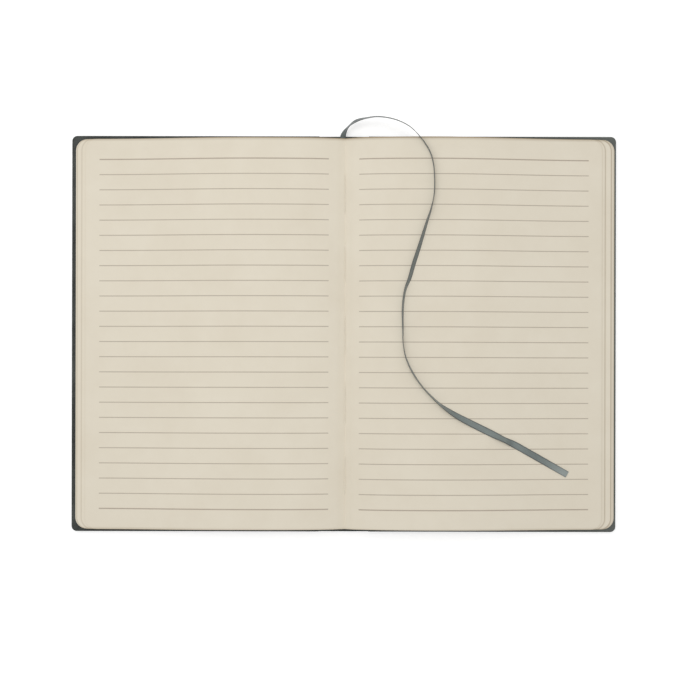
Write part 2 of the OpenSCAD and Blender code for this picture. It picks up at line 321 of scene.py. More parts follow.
@dataclass(frozen=True)
class OpenForm:
    """The shape that the leaves take when the book lies open at its middle."""

    lay_z: float = 3.5
    stack_t: float = 4.6
    left_arch: float = 6.4
    right_arch: float = 8.4
    dome_reach: float = 46.0
    gutter_w: float = 12.0
    shoulder_w: float = 6.5
    back_half_w: float = 4.5
    back_edge_z: float = 4.2
    back_rise: float = 3.2
    fold_t: float = 1.6
    leaf_reach: float = 142.7
    fan_w: float = 6.2
    fan_base: float = 0.7
    corner_r: float = 6.0
    half_h: float = 102.9
    shift_x: float = 0.6
    shift_y: float = -0.3
    bow: float = 0.35
    right_shift: float = 0.15

    @property
    def page_z(self) -> float:
        """Height of the open page where it lies flat."""
        return self.lay_z + self.stack_t

    @property
    def fold_z(self) -> float:
        """Height of the bottom of the fold."""
        return self.back_edge_z + self.back_rise + self.fold_t

    @property
    def back_r(self) -> float:
        """Radius of the arched back."""
        return (self.back_half_w**2 + self.back_rise**2) / (2 * self.back_rise)

    @property
    def back_angle(self) -> float:
        """Half the angle that the arched back spans, in radians."""
        centre_z = self.back_edge_z + self.back_rise - self.back_r
        return math.atan2(self.back_half_w, self.back_edge_z - centre_z)

    def arch(self, side: Side) -> float:
        """Height of the hollow under the leaves of one side."""
        return self.left_arch if side is Side.LEFT else self.right_arch

    def dome(self, x: Array, side: Side) -> Array:
        """Works out how far the leaves are lifted off the cover.

        Args:
            x: Distances from the fold.
            side: The half that they lie on.

        Returns:
            The lift at each distance.
        """
        far = self.leaf_reach - self.fan_w
        share = np.clip((np.asarray(x, float) - self.dome_reach) / (far - self.dome_reach), 0, 1)
        return self.arch(side) * (1 + np.cos(math.pi * share)) / 2

    def upper(self, x: Array, side: Side) -> Array:
        """Height of the open page."""
        drop = self.page_z + self.arch(side) - self.fold_z
        return self.page_z + self.dome(x, side) - drop * np.exp(-np.asarray(x) / self.gutter_w)

    def lower(self, x: Array, side: Side) -> Array:
        """Follows the underside of the lowest leaf, from the edge of the back outwards.

        Args:
            x: Distances from the fold.
            side: The half that it lies on.

        Returns:
            The height at each distance.
        """
        drop = self.lay_z + self.arch(side) - self.back_edge_z
        away = (np.asarray(x, float) - self.back_half_w) / self.shoulder_w
        return self.lay_z + self.dome(x, side) - drop * np.exp(-away)

    def level(self, x: Array, share: float, side: Side) -> Array:
        """Height at a share of the way up through the leaves."""
        low = self.lower(x, side)
        return low + share * (self.upper(x, side) - low)

    def back_point(self, share: float) -> Array:
        """Finds where on the arched back a leaf is held.

        Args:
            share: How far up the stack the leaf is; 0 is the back's edge.

        Returns:
            The place's x and z.
        """
        angle = self.back_angle * (1 - share)
        centre_z = self.back_edge_z + self.back_rise - self.back_r
        spot = [self.back_r * math.sin(angle), centre_z + self.back_r * math.cos(angle)]
        return np.array(spot)

    def sway(self, x: Array, side: Side) -> Array:
        """Works out how much further towards the head the leaves lie.

        Args:
            x: Distances from the fold.
            side: The half that they lie on.

        Returns:
            The shift at each distance.
        """
        bowed = self.bow * (self.dome(x, side) / self.arch(side)) ** 2
        drift = self.right_shift * ease(x, 0, self.gutter_w) if side is Side.RIGHT else 0.0
        return self.shift_y + bowed + drift

    def in_book(self, line: Array, side: Side) -> Array:
        """Turns x counted from the fold into x of the book.

        Args:
            line: Rows of x and z.
            side: The half that they belong to.

        Returns:
            The same rows in the book's frame.
        """
        moved = np.array(line, float)
        moved[:, 0] = self.shift_x + side.value * moved[:, 0]
        return moved


@dataclass(frozen=True)
class StepLine:
    """A painted shadow line on a leaf, along the fore edge of the leaves that lie on it.

    It follows their round corners. Its reach is counted from the fold.
    """

    side: Side
    reach: float
    depth: float
    width: float = 0.55
    off_edge: float = 0.26
    core: float = 0.1


@dataclass(frozen=True)
class PaperFinish:
    """Uncoated cream paper: short fibres, a faint cloudiness and a matt face."""

    name: str = "cream_paper"
    colour: Colour = tone(224, 216, 199)
    cloudy: Colour = tone(219, 210, 192)
    flecked: Colour = tone(198, 186, 163)
    # Colour of the painted shade on the leaves' cut edges and of the painted shadow lines.
    painted_shade: Colour = tone(150, 132, 105)
    clouds: Cloud = Cloud(0.045, 4.0, 0.6)
    fibres: Cloud = Cloud(1.6, 3.0, 0.65)
    flecks: Cloud = Cloud(4.5, 2.0, 0.7)
    fibre_stretch: Triple = (1.0, 3.2, 1.0)
    cloudy_span: Pair = (0.45, 0.95)
    fleck_span: Pair = (0.62, 0.8)
    fleck_share: float = 0.1
    level_span: Pair = (0.3, 0.8)
    # Most painted shade on a leaf's cut edge, as a share of the shade colour.
    edge_darkening: float = 0.12
    surface: Surface = Surface(0.012, 0.86, 0.22)
    # Painted shadow lines beside the steps of the fan.
    step_lines: tuple[StepLine, ...] = ()
    form: OpenForm = OpenForm()

    def make(self) -> bpy.types.Material:
        """Builds the material; painted shade darkens each leaf's cut edge as much as the mesh's
        leaf_tone says.

        Returns:
            The material.
        """
        sheet = ShaderSheet(self.name)
        where = sheet.place()
        clouds = sheet.noise(where, self.clouds)
        fibres = sheet.noise(sheet.place(self.fibre_stretch), self.fibres)
        flecks = sheet.noise(where, self.flecks)
        shade = sheet.sum_of(clouds, fibres, weight=0.35)
        body = sheet.blend(sheet.share(shade, self.cloudy_span), self.colour, self.cloudy)
        spot = sheet.share(flecks, self.fleck_span, self.fleck_share)
        speckled = sheet.blend(spot, body, self.flecked)
        # Painted shade on the leaves' cut edges, deeper on some leaves than others by a random share
        # per leaf.
        wear_light_and_shade = sheet.add("Attribute", {"attribute_name": "leaf_tone"}).outputs["Fac"]
        facing = sheet.add("NewGeometry").outputs["Normal"]
        level = sheet.math("ABSOLUTE", sheet.add("SeparateXYZ", Vector=facing).outputs[2])
        cut = sheet.ramp(level, *self.level_span, self.edge_darkening, 0.0)
        flat = sheet.share(level, self.level_span)
        toned = sheet.blend(sheet.math("MULTIPLY", wear_light_and_shade, cut), speckled, self.painted_shade)
        # Painted shadow lines beside the fan's steps, on faces that look up.
        for line in self.step_lines:
            share = sheet.math("MULTIPLY", flat, self.line_share(sheet, where, line))
            toned = sheet.blend(share, toned, self.painted_shade)
        return sheet.finish(toned, sheet.sum_of(fibres, flecks, weight=0.5), self.surface)

    def line_share(self, sheet: ShaderSheet, where: Any, line: StepLine) -> Any:
        """Works out how much painted shadow lies on a place along an edge with round corners.

        Args:
            sheet: The material.
            where: The place in millimetres.
            line: The edge.

        Returns:
            A share that is the line's depth beside the edge and 0 away from it.
        """
        spot = sheet.add("SeparateXYZ", Vector=where).outputs
        form = self.form
        start = line.side.value * form.shift_x + line.reach - form.corner_r
        past_x = sheet.math("MULTIPLY_ADD", spot[0], float(line.side.value), -start)
        off_middle = sheet.math("ABSOLUTE", sheet.math("SUBTRACT", spot[1], form.shift_y))
        past_y = sheet.math("SUBTRACT", off_middle, form.half_h - form.corner_r)
        corner = sheet.add(
            "CombineXYZ", X=sheet.math("MAXIMUM", past_x, 0.0), Y=sheet.math("MAXIMUM", past_y, 0.0)
        )
        length = sheet.add("VectorMath", {"operation": "LENGTH"})
        sheet.feed(length.inputs[0], corner.outputs[0])
        middle = form.corner_r + line.off_edge
        off_line = sheet.math("ABSOLUTE", sheet.math("SUBTRACT", length.outputs["Value"], middle))
        return sheet.ramp(off_line, line.core, line.width, line.depth, 0.0)


@dataclass(frozen=True)
class LeatherFinish:
    """Fine-grained leather-look covering: small pebbles, creases and a soft sheen."""

    name: str = "cover_grain"
    colour: Colour = tone(46, 50, 47)
    # Colour of the painted shade in the creases between the pebbles.
    crease_shade: Colour = tone(27, 30, 28)
    # Colour of rubbed wear, also used for the painted light on the back cover.
    wear_light_and_shade: Colour = tone(94, 98, 94)
    pebbles_a_mm: float = 1.15
    pebble_span: Pair = (0.0, 0.22)
    wander: Cloud = Cloud(0.5)
    wander_share: float = 0.35
    fine: Cloud = Cloud(5.0, 4.0, 0.65)
    broad: Cloud = Cloud(0.06, 3.0, 0.55)
    rubbed_span: Pair = (0.58, 0.85)
    rubbed_share: float = 0.35
    # Painted light: where across the back cover it turns paler towards its fore edge, and how much.
    painted_light_span: Pair = (70.0, 140.0)
    painted_light_share: float = 0.9
    surface: Surface = Surface(0.05, 0.62, 0.24)
    polish_span: Pair = (0.2, 1.6)
    polished: float = 0.46

    def make(self) -> bpy.types.Material:
        """Builds the material, with painted shade in the creases and painted light towards the back
        cover's fore edge.

        Returns:
            The material.
        """
        sheet = ShaderSheet(self.name)
        where = sheet.place()
        wander = sheet.noise(where, self.wander, coloured=True)
        bent = sheet.blend(self.wander_share, where, wander, "ADD")
        cells = {"feature": "DISTANCE_TO_EDGE"}
        creases = sheet.add("TexVoronoi", cells, Vector=bent, Scale=self.pebbles_a_mm)
        domes = sheet.share(creases.outputs["Distance"], self.pebble_span)
        fine = sheet.noise(where, self.fine)
        broad = sheet.noise(where, self.broad)
        height = sheet.sum_of(domes, fine, weight=0.45)
        # Painted shade in the creases between the pebbles.
        grain = sheet.blend(domes, self.crease_shade, self.colour)
        patches = sheet.sum_of(broad, fine, weight=0.3)
        rubbed = sheet.share(patches, self.rubbed_span, self.rubbed_share)
        # Painted light: the back cover turns paler towards its fore edge.
        across = sheet.add("SeparateXYZ", Vector=where).outputs[0]
        painted_light = sheet.share(across, self.painted_light_span, self.painted_light_share)
        # Rubbed patches are wear; the rest of the paler colour is painted light.
        body = sheet.blend(sheet.math("MAXIMUM", rubbed, painted_light), grain, self.wear_light_and_shade)
        polish = sheet.sum_of(domes, broad, weight=0.6)
        gloss = sheet.ramp(polish, *self.polish_span, self.surface.roughness, self.polished)
        return sheet.finish(body, height, self.surface, Roughness=gloss)


@dataclass(frozen=True)
class BoardFinish:
    """Grey bookbinder's board: pressed mixed fibres with dark and pale flecks."""

    name: str = "grey_board"
    colour: Colour = tone(158, 149, 134)
    dark: Colour = tone(132, 123, 109)
    pale: Colour = tone(196, 188, 172)
    pulp: Cloud = Cloud(1.4, 5.0, 0.7)
    flecks: Cloud = Cloud(3.5, 2.0, 0.6)
    fleck_stretch: Triple = (1.0, 2.5, 1.0)
    pulp_span: Pair = (0.3, 0.75)
    fleck_span: Pair = (0.6, 0.75)
    fleck_share: float = 0.5
    surface: Surface = Surface(0.05, 0.93, 0.15)

    def make(self) -> bpy.types.Material:
        """Builds the material.

        Returns:
            The material.
        """
        sheet = ShaderSheet(self.name)
        pulp = sheet.noise(sheet.place(), self.pulp)
        flecks = sheet.noise(sheet.place(self.fleck_stretch), self.flecks)
        body = sheet.blend(sheet.share(pulp, self.pulp_span), self.colour, self.dark)
        spots = sheet.share(flecks, self.fleck_span, self.fleck_share)
        light = sheet.blend(spots, body, self.pale)
        return sheet.finish(light, sheet.sum_of(pulp, flecks, weight=0.5), self.surface)


@dataclass(frozen=True)
class ClothFinish:
    """Open-weave lining cloth, stiff with glue."""

    name: str = "lining_weave"
    colour: Colour = tone(226, 223, 212)
    hollow: Colour = tone(176, 169, 150)
    pitch: float = 0.7
    wander: float = 0.4
    slubs: Cloud = Cloud(0.8, 3.0, 0.6)
    weave_span: Pair = (0.4, 1.9)
    surface: Surface = Surface(0.09, 0.9, 0.15)

    def make(self) -> bpy.types.Material:
        """Builds the material.

        Returns:
            The material.
        """
        sheet = ShaderSheet(self.name)
        where = sheet.place()
        warp, weft = (sheet.wave(where, across, self.pitch, self.wander) for across in "XY")
        weave = sheet.sum_of(warp, weft, weight=1.0)
        slubs = sheet.noise(where, self.slubs)
        shade = sheet.share(sheet.sum_of(weave, slubs, weight=0.5), self.weave_span)
        body = sheet.blend(shade, self.hollow, self.colour)
        return sheet.finish(body, weave, self.surface)


@dataclass(frozen=True)
class InkFinish:
    """Pale offset ink that has sunk into the paper, a little uneven along a line."""

    name: str
    colour: Colour
    lighter: Colour
    patches: Cloud = Cloud(0.12, 3.0, 0.6)
    grain: Cloud = Cloud(5.0, 2.0, 0.6)
    lighter_span: Pair = (0.45, 0.95)
    surface: Surface = Surface(0.006, 0.8, 0.2)

    def make(self) -> bpy.types.Material:
        """Builds the material.

        Returns:
            The material.
        """
        sheet = ShaderSheet(self.name)
        where = sheet.place()
        patches = sheet.noise(where, self.patches)
        grain = sheet.noise(where, self.grain)
        share = sheet.share(sheet.sum_of(patches, grain, weight=0.35), self.lighter_span)
        body = sheet.blend(share, self.colour, self.lighter)
        return sheet.finish(body, grain, self.surface)


@dataclass(frozen=True)
class ThreadFinish:
    """Waxed linen sewing thread."""

    name: str = "linen_thread"
    colour: Colour = tone(240, 234, 221)
    dull: Colour = tone(216, 207, 189)
    hairs: Cloud = Cloud(9.0, 3.0, 0.6)
    hair_stretch: Triple = (1.0, 0.35, 1.0)
    hair_span: Pair = (0.35, 0.7)
    surface: Surface = Surface(0.03, 0.6, 0.35)

    def make(self) -> bpy.types.Material:
        """Builds the material.

        Returns:
            The material.
        """
        sheet = ShaderSheet(self.name)
        hairs = sheet.noise(sheet.place(self.hair_stretch), self.hairs)
        body = sheet.blend(sheet.share(hairs, self.hair_span), self.dull, self.colour)
        return sheet.finish(body, hairs, self.surface)


@dataclass(frozen=True)
class RibbonFinish:
    """Narrow satin ribbon: fine ribs across, firmer edges and a cool sheen.

    It has painted shade: dark at its root and less along its length, with two bands of painted
    shade near its free end, and then a paler tip. A band is its place from the end, half its length
    and its depth.
    """

    length: float
    half_width: float
    hem: float
    name: str = "ribbon_satin"
    colour: Colour = tone(130, 139, 136)
    hollow: Colour = tone(92, 101, 99)
    selvedge: Colour = tone(58, 64, 63)
    # Colour of the painted shade along the ribbon.
    shade_colour: Colour = tone(44, 51, 53)
    pale: Colour = tone(170, 177, 173)
    # Painted shade: its share at the root, the span over which it dies away, and its bands.
    root_span: Pair = (37.44, 52.0)
    root_shades: Pair = (0.55, 0.25)
    lighter_span: Pair = (133.25, 205.0)
    bands: tuple[Triple, ...] = ((21.0, 9.0, 0.26), (35.5, 3.0, 0.24))
    band_core: float = 0.2
    pale_from_end: Pair = (12.0, 3.0)
    pale_share: float = 0.35
    rib_pitch: float = 0.3
    warp_pitch: float = 0.22
    hem_share: float = 0.85
    streaks: Cloud = Cloud(1.0, 3.0, 0.6)
    streak_stretch: Triple = (0.12, 1.4, 1.0)
    lit_span: Pair = (0.5, 2.0)
    surface: Surface = Surface(0.03, 0.42, 0.45)
    sheen: float = 0.15

    def make(self) -> bpy.types.Material:
        """Builds the material; the mesh's ribbon map gives millimetres along and across.

        Returns:
            The material.
        """
        sheet = ShaderSheet(self.name)
        where = sheet.add("UVMap", {"uv_map": "ribbon_map"}).outputs[0]
        along, across, _ = sheet.add("SeparateXYZ", Vector=where).outputs
        ribs = sheet.wave(where, "X", self.rib_pitch)
        warps = sheet.wave(where, "Y", self.warp_pitch)
        weave = sheet.sum_of(ribs, warps, weight=0.6)
        hem_span = (self.half_width - 2 * self.hem, self.half_width - self.hem)
        edge = sheet.share(sheet.math("ABSOLUTE", across), hem_span, self.hem_share)
        stretched = sheet.add("Mapping", Vector=where, Scale=self.streak_stretch).outputs[0]
        streaks = sheet.noise(stretched, self.streaks)
        lit = sheet.share(sheet.sum_of(weave, streaks, weight=0.8), self.lit_span)
        body = sheet.blend(lit, self.hollow, self.colour)
        # Painted shade along the ribbon's length, and its paler tip.
        toned = self.age(sheet, along, sheet.blend(edge, body, self.selvedge))
        return sheet.finish(toned, weave, self.surface, Sheen_Weight=self.sheen)

    def age(self, sheet: ShaderSheet, along: Any, unshaded: Any) -> Any:
        """Lays painted shade along the ribbon and makes its tip paler.

        Args:
            sheet: The material.
            along: Millimetres from the glued end.
            unshaded: The ribbon's colour before the painted shade.

        Returns:
            The colour's socket.
        """
        # Painted shade, darkest at the root and dying away towards the free end.
        root = sheet.ramp(along, *self.root_span, *self.root_shades)
        shade_falloff = sheet.ramp(along, *self.lighter_span, 1.0, 0.0)
        shade = sheet.math("MULTIPLY", root, shade_falloff)
        # Two bands of painted shade near the free end.
        for from_end, half, depth in self.bands:
            off_band = sheet.math("SUBTRACT", along, self.length - from_end)
            off_middle = sheet.math("ABSOLUTE", off_band)
            painted_shade = sheet.ramp(off_middle, self.band_core * half, half, depth, 0.0)
            shade = sheet.sum_of(shade, painted_shade, weight=1.0)
        tip_from, tip_to = (self.length - from_end for from_end in self.pale_from_end)
        lighter = sheet.blend(sheet.share(along, (tip_from, tip_to), self.pale_share), unshaded, self.pale)
        return sheet.blend(shade, lighter, self.shade_colour)


@dataclass(frozen=True)
class FloorFinish:
    """White studio table that keeps the object's shadow."""

    name: str = "studio_white"
    colour: Colour = (0.86, 0.86, 0.86)
    lift: float = 0.34

    def make(self) -> bpy.types.Material:
        """Builds the material: a matt white, lifted to pure white where it is looked at.

        Returns:
            The material.
        """
        sheet = ShaderSheet(self.name)
        matt = sheet.add("BsdfDiffuse", Color=self.colour)
        strength = sheet.share(sheet.looked_at(), (0.0, 1.0), self.lift)
        glow = sheet.add("Emission", Color=WHITE, Strength=strength)
        both = sheet.add("AddShader")
        sheet.feed(both.inputs[0], matt.outputs[0])
        sheet.feed(both.inputs[1], glow.outputs[0])
        sheet.feed(sheet.output.inputs["Surface"], both.outputs[0])
        return sheet.owner


def bring_in(name: str, data: Any) -> Any:
    """Makes an object and links it to the scene.

    Args:
        name: The object's name.
        data: Its mesh, lamp or camera.

    Returns:
        The object.
    """
    made = bpy.data.objects.new(name, data)
    bpy.context.scene.collection.objects.link(made)
    return made


def turn_out(mesh: bpy.types.Mesh, weld_mm: float = 0.0) -> None:
    """Turns all faces outwards.

    Args:
        mesh: The mesh.
        weld_mm: Points that lie closer than this are joined first.
    """
    shell = bmesh.new()
    shell.from_mesh(mesh)
    if weld_mm:
        bmesh.ops.remove_doubles(shell, verts=shell.verts, dist=weld_mm * MM)
    bmesh.ops.recalc_face_normals(shell, faces=shell.faces)
    shell.to_mesh(mesh)
    shell.free()


class MeshDraft:
    """Collects points in millimetres and faces, and turns them into a piece."""

    def __init__(self) -> None:
        """Starts with nothing in it."""
        self.points: list[Array] = []
        self.faces: list[tuple[int, ...]] = []
        self.count = 0

    def put(self, points: Array) -> int:
        """Adds points.

        Args:
            points: Rows of x, y, z.

        Returns:
            The number of the first of them.
        """
        first = self.count
        rows = np.asarray(points, float).reshape(-1, 3)
        self.points.append(rows)
        self.count += len(rows)
        return first

    def rings(self, rings: Sequence[Array], closed: bool = True, capped: bool = True) -> None:
        """Joins a row of rings that all have as many points.

        Args:
            rings: Points of each ring, in order.
            closed: Whether a ring's last point joins its first.
            capped: Whether the two end rings are filled.
        """
        size = len(rings[0])
        first = self.put(np.concatenate(rings))
        around = size if closed else size - 1
        for row in range(len(rings) - 1):
            low = first + row * size
            for j in range(around):
                k = (j + 1) % size
                self.faces.append((low + j, low + k, low + size + k, low + size + j))
        if capped:
            last = first + (len(rings) - 1) * size
            self.faces.append(tuple(range(first, first + size)))
            self.faces.append(tuple(range(last + size - 1, last - 1, -1)))

    def piece(self, name: str, material: bpy.types.Material, sharp_deg: float = 38) -> Any:
        """Makes the object.

        Args:
            name: The piece's name.
            material: Its finish.
            sharp_deg: Edges that turn more than this stay sharp.

        Returns:
            The new object, linked to the scene.
        """
        mesh = bpy.data.meshes.new(name)
        mesh.from_pydata((np.concatenate(self.points) * MM).tolist(), [], self.faces)
        turn_out(mesh)
        mesh.polygons.foreach_set("use_smooth", [True] * len(mesh.polygons))
        mesh.set_sharp_from_angle(angle=math.radians(sharp_deg))
        mesh.materials.append(material)
        return bring_in(name, mesh)


def report(piece: Any, note: str) -> None:
    """Writes one line about a piece that has been made.

    Args:
        piece: The object.
        note: What it is.
    """
    LOG.info("%s: %s, %d faces", piece.name, note, len(piece.data.polygons))


def hand_in(piece: Any, node: str, note: str) -> None:
    """Hides the plain node that a finished piece stands for, and reports the piece.

    Args:
        piece: The object.
        node: The node that it replaces.
        note: What it is.
    """
    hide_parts(node)
    report(piece, note)


def put_on_block(piece: Any, node: str, note: str) -> None:
    """Lets a finished piece ride on the block, with what hand_in says of it.

    Args:
        piece: The object.
        node: The node that it replaces.
        note: What it is.
    """
    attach(piece, Body.BLOCK.value)
    hand_in(piece, node, note)


@dataclass
class SheetSolid:
    """A sheet of even thickness that runs head to tail and follows a line in X and Z."""

    line: Array
    half: Array
    thickness: float
    middle: Array

    def add_to(self, draft: MeshDraft) -> int:
        """Adds the sheet to a draft.

        Args:
            draft: Where its points and faces go.

        Returns:
            The number of its points.
        """
        along = np.gradient(self.line, axis=0)
        along /= np.linalg.norm(along, axis=1)[:, None]
        out = np.stack([-along[:, 1], along[:, 0]], 1) * self.thickness / 2
        rings = []
        for (x, z), (dx, dz), half, middle in zip(self.line, out, self.half, self.middle):
            head, tail = middle + half, middle - half
            corners = [(x + dx, head, z + dz), (x + dx, tail, z + dz)]
            corners += [(x - dx, tail, z - dz), (x - dx, head, z - dz)]
            rings.append(np.array(corners))
        draft.rings(rings)
        return sum(len(ring) for ring in rings)


def corner_samples(reach: float, radius: float, steps: int) -> Array:
    """Places along x that draw a round corner evenly, from its start to the reach."""
    turns = np.linspace(0, math.pi / 2, steps + 1)
    return reach - radius + radius * np.sin(turns)


def half_heights(x: Array, reach: float, radius: float, half_h: float) -> Array:
    """Half the height of a sheet with two round outer corners, at places along x."""
    past = np.clip(np.asarray(x) - (reach - radius), 0, radius)
    return half_h - radius + np.sqrt(radius**2 - past**2)


@dataclass(frozen=True)
class Fan:
    """How far back each group of leaves lies from the full reach, lowest group first."""

    form: OpenForm
    left_steps: tuple[float, ...] = (0.4, 1.4, 3.9, 5.8)
    right_steps: tuple[float, ...] = (0.4, 2.35, 5.6, 7.2)
    # Depth of the painted shadow line beside each step of a side.
    left_depths: tuple[float, ...] = (0.3, 0.22, 0.05)
    right_depths: tuple[float, ...] = (0.48, 0.36, 0.1)
    # Depth, width and inset of the band of painted shade along the right-hand side's outer edge.
    rim_depth: float = 0.3
    rim_width: float = 1.1
    rim_inset: float = 0.3
    last_step: float = 1.5
    slope: float = 0.04

    def steps(self, side: Side) -> tuple[float, ...]:
        """Gives the steps of one side."""
        return self.left_steps if side is Side.LEFT else self.right_steps

    def reach(self, share: float, side: Side) -> float:
        """Works out how far from the fold a leaf's fore edge lies.

        Args:
            share: How far up the stack the leaf is, from 0 to 1.
            side: The half it lies on.

        Returns:
            The distance; the leaves of one group share a step, and slope a little within it.
        """
        steps, base = self.steps(side), self.form.fan_base
        place = share / base if share < base else 1 + (share - base) / (1 - base) * (len(steps) - 1)
        group = int(place)
        ends = [self.form.leaf_reach - step for step in (*steps, steps[-1] + self.last_step)]
        return ends[group] - self.slope * (ends[group] - ends[group + 1]) * (place - group)

    def lines(self) -> tuple[StepLine, ...]:
        """Finds the painted shadow line beside each group's fore edge, where it lies on the one below.

        Returns:
            The lines, and the soft band of painted shade along the right-hand side's outer edge.
        """
        made = []
        for side, depths in ((Side.LEFT, self.left_depths), (Side.RIGHT, self.right_depths)):
            for step, depth in zip(self.steps(side)[1:], depths):
                made.append(StepLine(side, self.form.leaf_reach - step, depth))
        outer = self.form.leaf_reach - self.right_steps[0]
        made.append(StepLine(Side.RIGHT, outer, self.rim_depth, self.rim_width, -self.rim_inset))
        return tuple(made)


@dataclass
class TextBlock:
    """The leaves: one open sheet on top and the rest fanned out under it on each side."""

    form: OpenForm
    fan: Fan
    paper: bpy.types.Material
    leaves_a_side: int = 48
    sections: int = 6
    paper_t: float = 0.082
    bend_reach: float = 9.0
    gathered_share: float = 0.3
    stub: float = 2.5
    handle: float = 5.0
    least_handle: float = 0.45
    bend_samples: int = 10
    leaf_samples: int = 26
    open_samples: int = 70
    corner_steps: int = 8
    fold_samples: int = 15
    fold_crowding: float = 1.4
    jitter: float = 0.05

    def page_xs(self, reach: float, samples: int) -> Array:
        """Spaces out places from the end of the bend to the fore edge.

        Args:
            reach: Distance from the fold to the fore edge.
            samples: How many places lie ahead of the round corner.

        Returns:
            The places, counted from the fold.
        """
        straight = np.linspace(self.bend_reach, reach - self.form.corner_r, samples)
        corner = corner_samples(reach, self.form.corner_r, self.corner_steps)
        return np.concatenate([straight[:-1], corner])

    def leaf_line(self, index: int, side: Side, reach: float) -> Array:
        """Draws the middle of one leaf.

        Args:
            index: The leaf, lowest first.
            side: The half it lies on.
            reach: Distance from the fold to its fore edge.

        Returns:
            Rows of x and z, counted from the fold.
        """
        share = (index + 0.5) / self.leaves_a_side
        gathered = (math.floor(share * self.sections) + 0.5) / self.sections
        root_share = (1 - self.gathered_share) * share + self.gathered_share * gathered
        root = self.form.back_point(root_share)
        angle = self.form.back_angle * (1 - root_share)
        xs = self.page_xs(reach, self.leaf_samples)
        page = np.stack([xs, self.form.level(xs, share, side)], 1)
        ahead = page[1] - page[0]
        ahead /= np.linalg.norm(ahead)
        first = root + self.stub * np.array([math.sin(angle), math.cos(angle)])
        handle = self.handle * (self.least_handle + (1 - self.least_handle) * share)
        second = page[0] - handle * ahead
        t = np.linspace(0, 1, self.bend_samples, endpoint=False)[:, None]
        bend = ((1 - t)**3 * root + 3 * (1 - t)**2 * t * first
                + 3 * (1 - t) * t**2 * second + t**3 * page[0])
        return np.concatenate([bend, page])

    def make_leaves(self, side: Side, rng: np.random.Generator) -> None:
        """Builds the leaves under the open page of one side.

        Args:
            side: The half to build.
            rng: Source of each leaf's small misplacement.
        """
        draft = MeshDraft()
        tones = []
        for index in range(self.leaves_a_side - 1):
            slip = rng.uniform(-self.jitter, self.jitter, 3)
            place = self.fan.reach(index / self.leaves_a_side, side)
            reach = min(place + slip[0], self.form.leaf_reach)
            line = self.leaf_line(index, side, reach)
            half_h = self.form.half_h - abs(slip[1])
            half = half_heights(line[:, 0], reach, self.form.corner_r, half_h)
            middle = self.form.sway(line[:, 0], side) + slip[2] / 2
            sheet = SheetSolid(self.form.in_book(line, side), half, self.paper_t, middle)
            # A random share of painted shade for this leaf's cut edges.
            tones += [rng.uniform(0, 1)] * sheet.add_to(draft)
        piece = draft.piece(f"{side.name.lower()}_leaves", self.paper)
        piece.data.attributes.new("leaf_tone", "FLOAT", "POINT").data.foreach_set("value", tones)
        put_on_block(piece, "text_block", "leaves under the open page")

    def make_open_sheet(self) -> None:
        """Builds the sheet that shows: two pages, folded at the middle."""
        near = np.linspace(0, 1, self.fold_samples)**self.fold_crowding * self.bend_reach
        lines, halves, middles = [], [], []
        for side in Side:
            reach = self.fan.reach(1 - 1 / self.leaves_a_side, side)
            xs = np.concatenate([near[:-1], self.page_xs(reach, self.open_samples)])
            line = np.stack([xs, self.form.upper(xs, side) - self.paper_t / 2], 1)
            lines.append(self.form.in_book(line, side))
            halves.append(half_heights(xs, reach, self.form.corner_r, self.form.half_h))
            middles.append(self.form.sway(xs, side))
        line, half, middle = (
            np.concatenate([both[0][::-1], both[1][1:]]) for both in (lines, halves, middles)
        )
        draft = MeshDraft()
        SheetSolid(line, half, self.paper_t, middle).add_to(draft)
        piece = draft.piece("open_sheet", self.paper)
        put_on_block(piece, "text_block", "the two open pages")


@dataclass
class Ruling:
    """The printed lines, as thin films that follow the open pages."""

    form: OpenForm
    inner: float = 8.0
    length: float = 121.0
    off_fold: float = 0.6
    follow: float = 0.4
    right_drop: float = 0.2
    pitch: float = 8.0
    count: int = 24
    width: float = 0.45
    edge_width: float = 0.6
    film: Pair = (0.006, 0.03)
    samples: int = 90

    def add_line(self, draft: MeshDraft, index: int, side: Side, width: float) -> None:
        """Adds one line to a draft.

        Args:
            draft: Where it goes.
            index: The line, tail first.
            side: The page.
            width: The line's width.
        """
        xs = np.linspace(self.inner, self.inner + self.length, self.samples)
        across = (index - (self.count - 1) / 2) * self.pitch + self.form.shift_y
        across -= self.right_drop if side is Side.RIGHT else 0.0
        rings = []
        heights = self.form.upper(xs - side.value * self.off_fold, side)
        sways = self.follow * (self.form.sway(xs, side) - self.form.shift_y)
        spots = self.form.in_book(np.stack([xs, heights], 1), side) - (self.off_fold, 0)
        for (x, z), sway in zip(spots, sways):
            low, high = z + self.film[0], z + self.film[1]
            head, tail = across + sway + width / 2, across + sway - width / 2
            rings.append(np.array([(x, head, high), (x, tail, high), (x, tail, low), (x, head, low)]))
        draft.rings(rings)

    def make(self, name: str, node: str, slot: Slot, ink: InkFinish) -> None:
        """Builds the ordinary lines, or the heavier first and last ones.

        Args:
            name: The piece's name.
            node: The plain node that it stands for.
            slot: Its material slot.
            ink: Its finish.
        """
        heavy = slot is Slot.EDGE_RULING
        last = self.count - 1
        draft = MeshDraft()
        for side in Side:
            for index in (0, last) if heavy else range(1, last):
                self.add_line(draft, index, side, self.edge_width if heavy else self.width)
        put_on_block(draft.piece(name, ink.make()), node, "printed lines")


